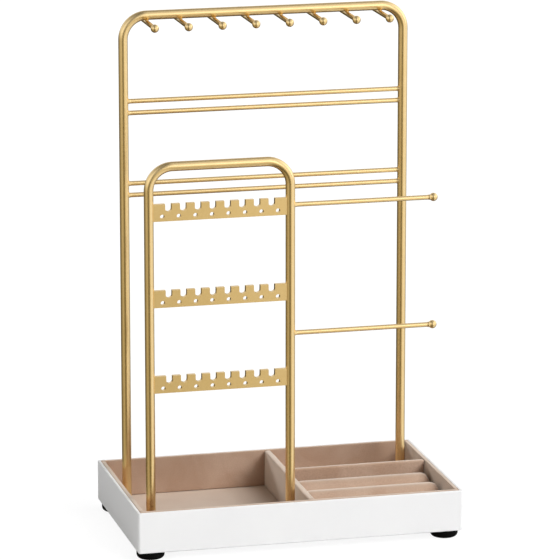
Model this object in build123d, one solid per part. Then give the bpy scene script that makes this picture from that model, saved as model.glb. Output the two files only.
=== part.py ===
"""Jewelry stand: a lined tray on rubber feet, and two tube frames that carry hooks, rods, strips and bars.

Lengths are in millimetres. +Z is up and the origin is on the table, under the middle of the tray.
The front of the stand faces -Y.
"""

import os

from build123d import *

# Tray
TRAY_WIDTH = 280.0
TRAY_DEPTH = 167.0
TRAY_HEIGHT = 35.0
WALL_THICKNESS = 2.5
TRAY_CORNER_RADIUS = 2.0
RIM_RADIUS = 0.8
BOTTOM_THICKNESS = 2.0
FLOOR_LINING_THICKNESS = 1.0

# Feet
FOOT_DIAMETER = 23.5
FOOT_HEIGHT = 7.0
FOOT_INSET = 13.0
FOOT_EDGE_RADIUS = 3.5

# Wall linings and dividers, boards wrapped in velvet
LINING_THICKNESS = 3.5
LINING_RISE = 0.4
MAIN_DIVIDER_THICKNESS = 6.0
MAIN_DIVIDER_X = 10.0
CROSS_DIVIDER_THICKNESS = 5.0
CROSS_DIVIDER_Y = 16.0
WRAP_ROUND_SHARE = 0.25
LINING_GAP = 0.1

# Ring cushion
ROLL_NAMES = ("back", "middle", "front")
ROLL_HEIGHT = 24.4
ROLL_END_RADIUS = 3.0
ROLL_GAP = 0.4
CUSHION_BOARD_THICKNESS = 2.0
CUSHION_CLEARANCE = 0.6
CUSHION_SEAT_GAP = 0.2

# Frames
TUBE_DIAMETER = 8.0
TUBE_WALL = 1.0
BEND_RADIUS = 20.0
TALL_FRAME_HEIGHT = 429.5
LOW_FRAME_HEIGHT = 320.0
LEG_TO_SIDE_LINING = 12.5
LEG_TO_END_LINING = 29.5
LEG_TO_DIVIDER = 8.5

# Rods, hooks and bars
ROD_DIAMETER = 4.0
WELD_GAP = 0.05
UPPER_PAIR_DROP = 72.5
LOWER_PAIR_DROP = 143.0
ROD_PAIR_SPACING = 10.0
HOOK_COUNT = 8
HOOK_TO_BEND = 0.4
HOOK_REACH = 31.0
UPPER_BAR_DROP = 37.5
LOWER_BAR_DROP = 147.0
BALL_DIAMETER = 7.0
BALL_HOLE_CLEARANCE = 0.05
BALL_HOLE_EXTRA_DEPTH = 0.5

# Earring strips
STRIP_NAMES = ("top", "middle", "bottom")
STRIP_THICKNESS = 4.0
STRIP_HEIGHT = 14.5
STRIP_DROP = 31.0
STRIP_PITCH = 73.0
NOTCH_COUNT = 8
NOTCH_TO_LEG = 16.25
NOTCH_WIDTH = 5.6
NOTCH_DEPTH = 6.4
HOLE_COUNT = 8
HOLE_TO_LEG = 11.0
HOLE_DIAMETER = 3.6
HOLE_DROP = 10.5

# Fixings under the legs
PLUG_LENGTH = 14.0
PLUG_CLEARANCE = 0.03
SCREW_DIAMETER = 4.0
SCREW_REACH = 9.0
THREAD_EXTRA_DEPTH = 2.0
SCREW_HEAD_DIAMETER = 8.0
SCREW_HEAD_HEIGHT = 2.4
SCREW_HEAD_RADIUS = 1.0
SCREW_CLEARANCE = 0.05
SCREW_HOLE_CLEARANCE = 0.25
DRIVE_SLOT_WIDTH = 1.2
DRIVE_SLOT_DEPTH = 1.2
WASHER_DIAMETER = 12.0
WASHER_THICKNESS = 1.0

# One length by which every cut runs past what it cuts
OVERRUN = 5.0

# Levels
TRAY_BASE = FOOT_HEIGHT
RIM = TRAY_BASE + TRAY_HEIGHT
BOARD_TOP = TRAY_BASE + BOTTOM_THICKNESS
FLOOR = BOARD_TOP + FLOOR_LINING_THICKNESS
WRAP_TOP = RIM + LINING_RISE
TALL_BAR = FLOOR + TALL_FRAME_HEIGHT - TUBE_DIAMETER / 2
LOW_BAR = FLOOR + LOW_FRAME_HEIGHT - TUBE_DIAMETER / 2

# Inside of the walls, inside of the linings, and the ring section
ROOM_WIDTH = TRAY_WIDTH - 2 * WALL_THICKNESS
ROOM_DEPTH = TRAY_DEPTH - 2 * WALL_THICKNESS
LINED_WIDTH = ROOM_WIDTH - 2 * LINING_THICKNESS
LINED_DEPTH = ROOM_DEPTH - 2 * LINING_THICKNESS
DIVIDER_LEFT = MAIN_DIVIDER_X - MAIN_DIVIDER_THICKNESS / 2
DIVIDER_RIGHT = MAIN_DIVIDER_X + MAIN_DIVIDER_THICKNESS / 2
CROSS_FRONT = CROSS_DIVIDER_Y - CROSS_DIVIDER_THICKNESS / 2

# Legs: the tall frame spans the lined tray, and the low one the section to the left of the main divider
TALL_RIGHT_X = LINED_WIDTH / 2 - LEG_TO_SIDE_LINING
TALL_LEFT_X = -TALL_RIGHT_X
LOW_LEFT_X = TALL_LEFT_X
LOW_RIGHT_X = DIVIDER_LEFT - LEG_TO_DIVIDER
TALL_Y = LINED_DEPTH / 2 - LEG_TO_END_LINING
LOW_Y = -TALL_Y
TALL_LEGS = [(TALL_LEFT_X, TALL_Y), (TALL_RIGHT_X, TALL_Y)]
LOW_LEGS = [(LOW_LEFT_X, LOW_Y), (LOW_RIGHT_X, LOW_Y)]

ON_FLOOR = (Align.CENTER, Align.CENTER, Align.MIN)
UNDER = (Align.CENTER, Align.CENTER, Align.MAX)
NODES = {}


def add(name, *solids):
    """Keeps one node: a solid, or a group of separate identical solids."""
    NODES[name] = solids[0] if len(solids) == 1 else Compound(children=list(solids))


def block(x_low, x_high, y_low, y_high, z_low, z_high):
    """A box between two corners."""
    size = (x_high - x_low, y_high - y_low, z_high - z_low)
    middle = ((x_low + x_high) / 2, (y_low + y_high) / 2, z_low)
    return Pos(*middle) * Box(*size, align=ON_FLOOR)


def rod_along(axis, start, end, diameter):
    """A round rod from one point to another along X or Y."""
    length = (end - start).length
    turn = Rot(0, 90, 0) if axis == "X" else Rot(-90, 0, 0)
    return Pos(start) * turn * Cylinder(diameter / 2, length, align=ON_FLOOR)


def spread(low, high, count):
    """Evenly spaced places from one end to the other."""
    return [low + index * (high - low) / (count - 1) for index in range(count)]


def leg_cutter(x, y):
    """What a leg takes out of a piece that is welded to it, with the weld's gap all round."""
    radius = TUBE_DIAMETER / 2 + WELD_GAP
    height = FLOOR + TALL_FRAME_HEIGHT + OVERRUN
    return Pos(x, y, 0) * Cylinder(radius, height, align=ON_FLOOR)


# Tray walls: one lacquered ring, cut on the mitres into four boards
def tray_walls():
    ring = block(-TRAY_WIDTH / 2, TRAY_WIDTH / 2, -TRAY_DEPTH / 2, TRAY_DEPTH / 2, TRAY_BASE, RIM)
    ring = fillet(ring.edges().filter_by(Axis.Z), TRAY_CORNER_RADIUS)
    ring = fillet(ring.faces().sort_by(Axis.Z)[-1].edges(), RIM_RADIUS)
    ring -= block(-ROOM_WIDTH / 2, ROOM_WIDTH / 2, -ROOM_DEPTH / 2, ROOM_DEPTH / 2,
                  TRAY_BASE - OVERRUN, RIM + OVERRUN)
    right, back = TRAY_WIDTH / 2, TRAY_DEPTH / 2
    front_left, front_right = (-right, -back), (right, -back)
    back_left, back_right = (-right, back), (right, back)
    left_end, right_end = (back - right, 0), (right - back, 0)
    quarters = {
        "tray_front_wall": (front_left, front_right, right_end, left_end),
        "tray_back_wall": (back_right, back_left, left_end, right_end),
        "tray_left_wall": (back_left, front_left, left_end),
        "tray_right_wall": (front_right, back_right, right_end),
    }
    for name, corners in quarters.items():
        outline = make_face(Polyline(*corners, close=True))
        wedge = Pos(0, 0, TRAY_BASE - OVERRUN) * extrude(outline, TRAY_HEIGHT + 2 * OVERRUN, dir=(0, 0, 1))
        add(name, (ring & wedge).solid())


# Bottom board and floor lining, each with a hole for every leg's screw
def tray_floor():
    hole_radius = SCREW_DIAMETER / 2 + SCREW_HOLE_CLEARANCE
    holes = [Pos(x, y, TRAY_BASE - OVERRUN) * Cylinder(hole_radius, FLOOR + OVERRUN, align=ON_FLOOR)
             for x, y in TALL_LEGS + LOW_LEGS]
    inside = (-ROOM_WIDTH / 2, ROOM_WIDTH / 2, -ROOM_DEPTH / 2, ROOM_DEPTH / 2)
    add("tray_bottom", (block(*inside, TRAY_BASE, BOARD_TOP) - holes).solid())
    add("floor_lining", (block(*inside, BOARD_TOP, FLOOR) - holes).solid())


def wrapped_board(x_low, x_high, y_low, y_high):
    """A velvet-wrapped board that stands on the floor, with its long top edges rounded by the wrap."""
    board = block(x_low, x_high, y_low, y_high, FLOOR, WRAP_TOP)
    along = Axis.X if x_high - x_low > y_high - y_low else Axis.Y
    top_edges = board.faces().sort_by(Axis.Z)[-1].edges().filter_by(along)
    thickness = min(x_high - x_low, y_high - y_low)
    return fillet(top_edges, WRAP_ROUND_SHARE * thickness)


# Wall linings: front and back run from wall to wall, left and right fit between them
def wall_linings():
    x_wall, y_wall = ROOM_WIDTH / 2, ROOM_DEPTH / 2
    x_face, y_face = LINED_WIDTH / 2, LINED_DEPTH / 2
    y_end = y_face - LINING_GAP
    add("lining_front", wrapped_board(-x_wall, x_wall, -y_wall, -y_face))
    add("lining_back", wrapped_board(-x_wall, x_wall, y_face, y_wall))
    add("lining_left", wrapped_board(-x_wall, -x_face, -y_end, y_end))
    add("lining_right", wrapped_board(x_face, x_wall, -y_end, y_end))


# Dividers: the main one runs front to back, the cross one from it to the right lining
def dividers():
    half_cross = CROSS_DIVIDER_THICKNESS / 2
    y_end = LINED_DEPTH / 2 - LINING_GAP
    x_ends = (DIVIDER_RIGHT + LINING_GAP, LINED_WIDTH / 2 - LINING_GAP)
    add("main_divider", wrapped_board(DIVIDER_LEFT, DIVIDER_RIGHT, -y_end, y_end))
    add("cross_divider", wrapped_board(*x_ends, CROSS_DIVIDER_Y - half_cross, CROSS_DIVIDER_Y + half_cross))


# Feet: rubber domes with a flat to stand on
def feet():
    x_foot, y_foot = TRAY_WIDTH / 2 - FOOT_INSET, TRAY_DEPTH / 2 - FOOT_INSET
    foot = Cylinder(FOOT_DIAMETER / 2, FOOT_HEIGHT, align=ON_FLOOR)
    foot = fillet(foot.edges().sort_by(Axis.Z)[0], FOOT_EDGE_RADIUS)
    for row, y in (("front", -y_foot), ("back", y_foot)):
        for side, x in (("left", -x_foot), ("right", x_foot)):
            add(f"foot_{row}_{side}", Pos(x, y, 0) * foot)


# Ring cushion: foam rolls in velvet on a backing board, a loose fit in its section
def ring_cushion():
    x_low, x_high = DIVIDER_RIGHT + CUSHION_CLEARANCE, LINED_WIDTH / 2 - CUSHION_CLEARANCE
    y_low, y_high = -LINED_DEPTH / 2 + CUSHION_CLEARANCE, CROSS_FRONT - CUSHION_CLEARANCE
    board_low = FLOOR + CUSHION_SEAT_GAP
    board_high = board_low + CUSHION_BOARD_THICKNESS
    add("ring_cushion_board", block(x_low, x_high, y_low, y_high, board_low, board_high))
    pitch = (y_high - y_low) / len(ROLL_NAMES)
    half = (pitch - ROLL_GAP) / 2
    shoulder = ROLL_HEIGHT - half
    with BuildSketch(Plane.YZ) as section:
        with BuildLine():
            base = Polyline((-half, shoulder), (-half, 0), (half, 0), (half, shoulder))
            rise = JernArc(start=base @ 1, tangent=base % 1, radius=half, arc_size=90)
            JernArc(start=rise @ 1, tangent=rise % 1, radius=half, arc_size=90)
        make_face()
    roll = extrude(section.sketch, x_high - x_low, dir=(1, 0, 0))
    end_edges = [edge for end in roll.faces().filter_by(Axis.X) for edge in end.edges()]
    roll = fillet([edge for edge in end_edges if edge.center().Z > 0], ROLL_END_RADIUS)
    for name, y in zip(ROLL_NAMES, spread(y_high - pitch / 2, y_low + pitch / 2, len(ROLL_NAMES))):
        add(f"ring_roll_{name}", Pos(x_low, y, board_high) * roll)


# Frames: a tube bent twice, up from one leg, across and down to the other
def bent_tube(left_x, right_x, y, bar):
    corners = [(left_x, y, FLOOR), (left_x, y, bar), (right_x, y, bar), (right_x, y, FLOOR)]
    path = FilletPolyline(*corners, radius=BEND_RADIUS)
    ring = Circle(TUBE_DIAMETER / 2) - Circle(TUBE_DIAMETER / 2 - TUBE_WALL)
    return sweep(Pos(left_x, y, FLOOR) * ring, path=path).solid()


def frames():
    add("tall_frame_tube", bent_tube(TALL_LEFT_X, TALL_RIGHT_X, TALL_Y, TALL_BAR))
    add("low_frame_tube", bent_tube(LOW_LEFT_X, LOW_RIGHT_X, LOW_Y, LOW_BAR))


# Cross rods: two pairs, welded between the tall frame's legs
def cross_rods():
    legs = [leg_cutter(*leg) for leg in TALL_LEGS]
    for pair, drop in (("upper", UPPER_PAIR_DROP), ("lower", LOWER_PAIR_DROP)):
        for place, step in (("top", 0), ("bottom", ROD_PAIR_SPACING)):
            z = TALL_BAR - drop - step
            ends = Vector(TALL_LEFT_X, TALL_Y, z), Vector(TALL_RIGHT_X, TALL_Y, z)
            add(f"{pair}_rods_{place}", (rod_along("X", *ends, ROD_DIAMETER) - legs).solid())


def ball_on(axis, centre, towards):
    """A ball with a blind hole for its rod. The hole's mouth faces towards, +1 or -1 along the axis."""
    step = Vector(1, 0, 0) if axis == "X" else Vector(0, 1, 0)
    mouth = centre + step * towards * BALL_DIAMETER
    depth_end = centre - step * towards * BALL_HOLE_EXTRA_DEPTH
    start, end = (depth_end, mouth) if towards > 0 else (mouth, depth_end)
    hole = rod_along(axis, start, end, ROD_DIAMETER + 2 * BALL_HOLE_CLEARANCE)
    return (Pos(centre) * Sphere(BALL_DIAMETER / 2) - hole).solid()


# Hooks: straight rods welded under the tall frame's bar, with a ball on each end
def hooks():
    z = TALL_BAR - TUBE_DIAMETER / 2 - WELD_GAP - ROD_DIAMETER / 2
    end_x = TALL_RIGHT_X - BEND_RADIUS - HOOK_TO_BEND
    front_balls, back_balls = [], []
    for number, x in enumerate(spread(-end_x, end_x, HOOK_COUNT), start=1):
        front, back = Vector(x, TALL_Y - HOOK_REACH, z), Vector(x, TALL_Y + HOOK_REACH, z)
        add(f"hook_rod_{number}", rod_along("Y", front, back, ROD_DIAMETER))
        front_balls.append(ball_on("Y", front, 1))
        back_balls.append(ball_on("Y", back, -1))
    add("hook_balls_front", *front_balls)
    add("hook_balls_back", *back_balls)


# Earring strips: plates welded between the low frame's legs
def earring_strips():
    legs = [leg_cutter(*leg) for leg in LOW_LEGS]
    through = STRIP_THICKNESS + 2 * OVERRUN
    notch_radius = NOTCH_WIDTH / 2
    notch_round = Rot(90, 0, 0) * Cylinder(notch_radius, through)
    notch_box = Box(NOTCH_WIDTH, through, NOTCH_DEPTH - notch_radius + OVERRUN, align=ON_FLOOR)
    notch = notch_round + notch_box
    hole = Rot(90, 0, 0) * Cylinder(HOLE_DIAMETER / 2, through)
    notch_places = spread(LOW_LEFT_X + NOTCH_TO_LEG, LOW_RIGHT_X - NOTCH_TO_LEG, NOTCH_COUNT)
    hole_places = spread(LOW_LEFT_X + HOLE_TO_LEG, LOW_RIGHT_X - HOLE_TO_LEG, HOLE_COUNT)
    for index, name in enumerate(STRIP_NAMES):
        top = LOW_BAR - STRIP_DROP - index * STRIP_PITCH
        plate = block(LOW_LEFT_X, LOW_RIGHT_X, LOW_Y - STRIP_THICKNESS / 2, LOW_Y + STRIP_THICKNESS / 2,
                      top - STRIP_HEIGHT, top)
        notches = [Pos(x, LOW_Y, top - NOTCH_DEPTH + notch_radius) * notch for x in notch_places]
        holes = [Pos(x, LOW_Y, top - HOLE_DROP) * hole for x in hole_places]
        add(f"earring_strip_{name}", (plate - notches - holes - legs).solid())


# Bracelet bars: welded to the low frame's right leg, with a ball on the end that lines up with the tall leg
def bracelet_bars():
    leg = leg_cutter(LOW_RIGHT_X, LOW_Y)
    for name, drop in (("upper", UPPER_BAR_DROP), ("lower", LOWER_BAR_DROP)):
        z = LOW_BAR - drop
        start, end = Vector(LOW_RIGHT_X, LOW_Y, z), Vector(TALL_RIGHT_X, LOW_Y, z)
        add(f"bracelet_bar_{name}", (rod_along("X", start, end, ROD_DIAMETER) - leg).solid())
        add(f"bracelet_ball_{name}", ball_on("X", end, -1))


# Fixings: a threaded plug in each leg, and a screw and washer from under the tray
def fixings():
    plug_radius = TUBE_DIAMETER / 2 - TUBE_WALL - PLUG_CLEARANCE
    thread_radius = SCREW_DIAMETER / 2 + SCREW_CLEARANCE
    plug = Cylinder(plug_radius, PLUG_LENGTH, align=ON_FLOOR)
    plug -= Cylinder(thread_radius, SCREW_REACH + THREAD_EXTRA_DEPTH, align=ON_FLOOR)
    add("tall_frame_plugs", *[Pos(x, y, FLOOR) * plug for x, y in TALL_LEGS])
    add("low_frame_plugs", *[Pos(x, y, FLOOR) * plug for x, y in LOW_LEGS])

    washer = Cylinder(WASHER_DIAMETER / 2, WASHER_THICKNESS, align=UNDER)
    washer -= Cylinder(SCREW_DIAMETER / 2 + SCREW_HOLE_CLEARANCE, WASHER_THICKNESS, align=UNDER)
    add("frame_washers", *[Pos(x, y, TRAY_BASE) * washer for x, y in TALL_LEGS + LOW_LEGS])

    head = Cylinder(SCREW_HEAD_DIAMETER / 2, SCREW_HEAD_HEIGHT, align=UNDER)
    head = fillet(head.edges().sort_by(Axis.Z)[0], SCREW_HEAD_RADIUS)
    slot = Box(DRIVE_SLOT_WIDTH, SCREW_HEAD_DIAMETER / 2, DRIVE_SLOT_DEPTH, align=ON_FLOOR)
    cross = Pos(0, 0, -SCREW_HEAD_HEIGHT) * (slot + Rot(0, 0, 90) * slot)
    seat = TRAY_BASE - WASHER_THICKNESS
    shank = Cylinder(SCREW_DIAMETER / 2, FLOOR + SCREW_REACH - seat, align=ON_FLOOR)
    screw = head - cross + shank
    add("frame_screws", *[Pos(x, y, seat) * screw for x, y in TALL_LEGS + LOW_LEGS])


def main():
    tray_walls()
    tray_floor()
    wall_linings()
    dividers()
    feet()
    ring_cushion()
    frames()
    cross_rods()
    hooks()
    earring_strips()
    bracelet_bars()
    fixings()
    os.makedirs("parts", exist_ok=True)
    for name, shape in NODES.items():
        export_step(shape, f"parts/{name}.step")
    print(f"{len(NODES)} nodes, {sum(len(shape.solids()) for shape in NODES.values())} solids")


main()
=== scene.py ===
# %% [markdown]
# # A jewelry stand: gold tube frames in a velvet-lined tray
#
# The stand is a shallow white tray on four rubber feet, lined with velvet. Two bent tube frames rise from
# it and carry hooks, rods, notched strips and bars for jewelry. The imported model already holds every
# piece at its real size and place, in metres. This lesson keeps that frame as it is and gives the stand
# its looks: smooth tubes, soft velvet, lacquer, rubber, studio light and a camera.

# %% Load the frame
import math

import bmesh
import bpy
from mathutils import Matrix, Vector, noise


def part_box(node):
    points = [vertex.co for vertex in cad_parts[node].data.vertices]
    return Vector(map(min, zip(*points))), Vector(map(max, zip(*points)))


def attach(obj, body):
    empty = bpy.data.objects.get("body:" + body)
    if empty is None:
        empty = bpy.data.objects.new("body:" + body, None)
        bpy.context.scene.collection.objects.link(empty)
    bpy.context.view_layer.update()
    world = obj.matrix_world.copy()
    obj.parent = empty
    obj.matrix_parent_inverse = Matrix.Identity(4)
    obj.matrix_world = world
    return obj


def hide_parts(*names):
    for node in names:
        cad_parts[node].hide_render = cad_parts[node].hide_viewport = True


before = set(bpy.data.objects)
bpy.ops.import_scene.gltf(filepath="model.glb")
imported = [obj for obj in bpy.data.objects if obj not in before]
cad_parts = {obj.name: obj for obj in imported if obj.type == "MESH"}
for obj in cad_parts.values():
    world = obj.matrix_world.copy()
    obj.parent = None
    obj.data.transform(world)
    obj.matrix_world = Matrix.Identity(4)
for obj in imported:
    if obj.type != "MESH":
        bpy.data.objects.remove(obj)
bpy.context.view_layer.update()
MM = 0.001
scene = bpy.context.scene
scene.view_settings.view_transform = "Standard"

# %% [markdown]
# ## Camera
#
# A product shot is taken from far away with a long lens, so that upright tubes stay nearly parallel. The
# camera stands a little to the left of the front and looks down by a few degrees. One helper turns two
# angles into a direction, and the lights use it again.

# %% Camera
CAMERA_TURN = -14.13
CAMERA_HEIGHT = 13.48
CAMERA_DISTANCE = 3.4628
CAMERA_LENS = 263.96
AIM = Vector((1.75, 0, 213.03)) * MM


def toward(turn, height):
    """A direction from the stand: degrees from the front to the right, and degrees above level."""
    turn, height = math.radians(turn), math.radians(height)
    level = math.cos(height)
    return Vector((math.sin(turn) * level, -math.cos(turn) * level, math.sin(height)))


def link(thing):
    """Puts a new object into the scene."""
    scene.collection.objects.link(thing)
    return thing


camera = link(bpy.data.objects.new("camera", bpy.data.cameras.new("camera")))
camera_back = toward(CAMERA_TURN, CAMERA_HEIGHT)
camera.location = AIM + camera_back * CAMERA_DISTANCE
camera.rotation_euler = (-camera_back).to_track_quat("-Z", "Y").to_euler()
camera.data.lens = CAMERA_LENS
scene.camera = camera
print("camera at", [round(value, 3) for value in camera.location])

# %% [markdown]
# ## One helper for nodes
#
# Materials, the world and Geometry Nodes are all trees of nodes. One small function adds any node, sets
# its properties and fills its inputs. Inputs are given by name, or as a tuple in the order in which the
# node shows them. Each is a value, a socket of another node, or another node, which stands for the first
# output it shows.
#
# Colours are written as the sRGB hex values that a paint chart or a colour picker gives, and turned into
# the linear values that a renderer needs.

# %% Node helper and colour helper
def add_node(tree, kind, inputs=(), **settings):
    """Adds a node, sets its properties and fills its inputs: values, sockets, nodes or lists of these."""
    made = tree.nodes.new(kind)
    for name, value in settings.items():
        setattr(made, name, value)
    if isinstance(inputs, dict):
        filled = [(made.inputs[name], value) for name, value in inputs.items()]
    else:
        filled = zip([socket for socket in made.inputs if socket.enabled], inputs)
    for socket, value in filled:
        for each in value if isinstance(value, list) else [value]:
            if isinstance(each, bpy.types.Node):
                each = next(output for output in each.outputs if output.enabled)
            if isinstance(each, bpy.types.NodeSocket):
                tree.links.new(each, socket)
            else:
                socket.default_value = each
    return made


def linear(hex_colour):
    """A linear colour from an sRGB hex value."""
    parts = [int(hex_colour[place:place + 2], 16) / 255 for place in (1, 3, 5)]
    return *(part / 12.92 if part <= 0.04045 else ((part + 0.055) / 1.055) ** 2.4 for part in parts), 1.0


print("middle grey in linear values:", [round(part, 3) for part in linear("#808080")])

# %% [markdown]
# ## Studio: floor and white background
#
# A white background needs no extra light. Light Path tells what kind of ray looks at a surface. Rays from
# the camera see the floor and the world as white. Mirror-like rays from metal see the world as white too,
# where the light tent of the next step leaves it open. All other rays see a softer level, which helps to
# light the stand. The floor keeps part of its own shading for the camera, so it still shows the shadow.

# %% Floor and world
WHITE = (1, 1, 1, 1)
AMBIENT_LEVEL = 0.13
FLOOR_SIZE = 14.0
FLOOR_COLOUR = "#F0F0F0"
FLOOR_SHADOW_COLOUR = "#707070"
FLOOR_GLOW = 0.9


def empty_tree(owner):
    """The node tree of a material or a world, without the nodes it starts with."""
    owner.use_nodes = True
    owner.node_tree.nodes.clear()
    return owner.node_tree


def looked_at(tree):
    """1 where the camera or a mirror-like ray looks at the background, 0 for light that is on its way."""
    rays = add_node(tree, "ShaderNodeLightPath").outputs
    seen = rays["Is Camera Ray"]
    for kind in ("Is Glossy Ray", "Is Transmission Ray"):
        seen = add_node(tree, "ShaderNodeMath", (seen, rays[kind]), operation="MAXIMUM")
    return seen


def studio_world():
    world = bpy.data.worlds.new("white_studio")
    tree = empty_tree(world)
    ambient = add_node(tree, "ShaderNodeBackground", {"Color": WHITE, "Strength": AMBIENT_LEVEL})
    white = add_node(tree, "ShaderNodeBackground", {"Color": WHITE, "Strength": 1.0})
    either = add_node(tree, "ShaderNodeMixShader", (looked_at(tree), ambient, white))
    add_node(tree, "ShaderNodeOutputWorld", {"Surface": either})
    return world


def floor_paper():
    material = bpy.data.materials.new("white_floor_paper")
    tree = empty_tree(material)
    seen = looked_at(tree)
    colours = linear(FLOOR_COLOUR), linear(FLOOR_SHADOW_COLOUR)
    colour = add_node(tree, "ShaderNodeMix", (seen, *colours), data_type="RGBA")
    glow = add_node(tree, "ShaderNodeMath", (seen, FLOOR_GLOW), operation="MULTIPLY")
    paper = add_node(tree, "ShaderNodeBsdfDiffuse", {"Color": colour})
    light = add_node(tree, "ShaderNodeEmission", {"Strength": glow})
    both = add_node(tree, "ShaderNodeAddShader", (paper, light))
    add_node(tree, "ShaderNodeOutputMaterial", {"Surface": both})
    return material


def stage_mesh(name, corners, faces, material):
    """A mesh of the studio, which isn't part of the stand."""
    mesh = bpy.data.meshes.new(name)
    mesh.from_pydata(corners, [], faces)
    mesh.materials.append(material)
    piece = link(bpy.data.objects.new(name, mesh))
    return piece


half = FLOOR_SIZE / 2
floor_corners = [(-half, -half, 0), (half, -half, 0), (half, half, 0), (-half, half, 0)]
studio_floor = stage_mesh("studio_floor", floor_corners, [(0, 1, 2, 3)], floor_paper())
# Mirror-like rays pass through the floor, to the tent's lower cards
studio_floor.visible_glossy = False
scene.world = studio_world()
print("floor", FLOOR_SIZE, "m wide, ambient level", AMBIENT_LEVEL)

# %% [markdown]
# ## Studio: softboxes and light tent
#
# A wide softbox from the right front lights the stand, with a weaker one high up on the right, a fill
# from the left and one from behind at the left. A softbox's level is the share of white that a white card
# facing it would get, and its power follows from that and from its distance.
#
# Polished metal has no pattern of its own: it shows the room. In an all-white room a gold tube looks pale
# and flat. Photographers hang cards around such an object, pale in one place and dark in another, and
# these show as the bands that make a tube look round. The tent here is a large shell around the stand
# with a grey level for each direction, open on the right front, where the white background shows. Its
# darker cards are warm, as the room behind them would be. Those behind the stand are dark low down, which
# the sides of the notches show, and paler above eye level, which the top edges show. Only mirror-like
# rays see the tent, so it gives no light and takes none away.

# %% Softboxes and light tent
TENT_RADIUS = 3.0
# The tent's opening and corners, in degrees of turn and height
TENT_OPENING = (27, 72)
TENT_TURNS = (*range(-180, 26, 5), *TENT_OPENING, *range(75, 181, 5))
TENT_HEIGHTS = range(-90, 91, 5)
# Grey levels of the cards by turn in degrees, and a factor by height in degrees
CARD_TURNS = (
    (-180, 0.06), (-145, 0.07), (-115, 0.20), (-95, 0.28), (-65, 0.50), (-45, 0.44), (-28, 0.12), (-8, 0.13),
    (8, 0.52), (20, 0.84), (27, 1.0), (72, 0.95), (100, 0.56), (150, 0.14), (180, 0.06))
CARD_HEIGHTS = (
    (-90, 0.20), (-75, 0.24), (-50, 0.72), (-28, 1.06), (-12, 1.02), (0, 1.8), (16, 3.0), (40, 2.0),
    (62, 0.85), (90, 0.60))
# What the cards behind the stand gain above eye level, by turn, and how this sets in by height
BACK_GAIN = ((-180, 0.25), (-120, 0.20), (-90, 0.0), (90, 0.0), (130, 0.20), (180, 0.25))
GAIN_HEIGHTS = ((-90, 0.0), (2, 0.0), (12, 1.0), (90, 1.0))
# How warm the cards are by turn, how this fades by height, and what warmth takes from red, green and blue
CARD_WARMTH = (
    (-180, 1.0), (-125, 0.9), (-90, 0.6), (-60, 0.6), (-27, 1.0), (0, 0.8), (22, 0.35), (40, 0.0),
    (130, 0.0), (180, 1.0))
WARM_HEIGHTS = ((-90, 1.0), (-6, 1.0), (12, 0.0), (90, 0.0))
WARM_LOSS = Vector((0, 0.16, 0.60))


def softbox(name, turn, height, distance, width, length, level):
    lamp = bpy.data.lights.new(name, "AREA")
    lamp.shape = "RECTANGLE"
    lamp.size, lamp.size_y = width, length
    lamp.energy = level * math.pi ** 2 * distance ** 2
    box = link(bpy.data.objects.new(name, lamp))
    direction = toward(turn, height)
    box.location = AIM + direction * distance
    box.rotation_euler = direction.to_track_quat("Z", "Y").to_euler()
    box.visible_glossy = False


def between(table, place):
    """The value of a table at a place, in a straight line between its neighbours."""
    for (start, low), (end, high) in zip(table, table[1:]):
        if start <= place <= end:
            return low + (high - low) * (place - start) / (end - start)


def card_colour(turn, height):
    gain = between(BACK_GAIN, turn) * between(GAIN_HEIGHTS, height)
    level = (between(CARD_TURNS, turn) + gain) * between(CARD_HEIGHTS, height)
    warmth = between(CARD_WARMTH, turn) * between(WARM_HEIGHTS, height)
    return *(level * (1 - loss * warmth) for loss in WARM_LOSS), 1.0


def tent_cards():
    material = bpy.data.materials.new("tent_cards")
    tree = empty_tree(material)
    card = add_node(tree, "ShaderNodeAttribute", attribute_name="card")
    light = add_node(tree, "ShaderNodeEmission", {"Color": card})
    add_node(tree, "ShaderNodeOutputMaterial", {"Surface": light})
    return material


def light_tent():
    spots = [(turn, height) for turn in TENT_TURNS for height in TENT_HEIGHTS]
    corners = [AIM + toward(*spot) * TENT_RADIUS for spot in spots]
    rows = len(TENT_HEIGHTS)
    starts = [rows * column for column, turn in enumerate(TENT_TURNS[:-1]) if turn != TENT_OPENING[0]]
    faces = [(start + row, start + row + 1, start + rows + row + 1, start + rows + row)
             for start in starts for row in range(rows - 1)]
    tent = stage_mesh("light_tent", corners, faces, tent_cards())
    colours = tent.data.color_attributes.new("card", "FLOAT_COLOR", "POINT")
    for point, spot in zip(colours.data, spots):
        point.color = card_colour(*spot)
    for ray in ("camera", "diffuse", "transmission", "volume_scatter", "shadow"):
        setattr(tent, f"visible_{ray}", False)
    return tent


softbox("softbox_right", turn=43, height=34, distance=7.0, width=5.4, length=2.5, level=0.87)
softbox("softbox_above", turn=80, height=68, distance=6.0, width=2.8, length=2.8, level=0.34)
softbox("softbox_left", turn=-80, height=4, distance=2.0, width=1.0, length=0.8, level=0.145)
softbox("softbox_back", turn=-165, height=18, distance=3.4, width=1.6, length=0.8, level=0.4)
print("light tent:", len(light_tent().data.polygons), "cards")

# %% [markdown]
# ## Finish: satin gold
#
# The tubes, rods and strips are steel with a gold-coloured plating, polished to a satin. Plating follows
# the steel below it, so it shows the faint grain that the polishing left: a slightly uneven gloss and
# colour, without any pattern. Metals keep the default IOR, and their colour is the colour of their
# reflection. The grain is a few hundredths of a millimetre on the real tube and is drawn coarser here, or
# it wouldn't show.

# %% Satin gold
GOLD_COLOURS = ("#F4D8A2", "#EDCF94")
GOLD_ROUGHNESS = (0.25, 0.33)
GOLD_CLOUDS = 14 * MM
GOLD_CLOUD_DETAIL = 2.0
GOLD_GRAIN = 0.35 * MM
GOLD_GRAIN_DETAIL = 3.0
GOLD_RELIEF = 0.06
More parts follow.
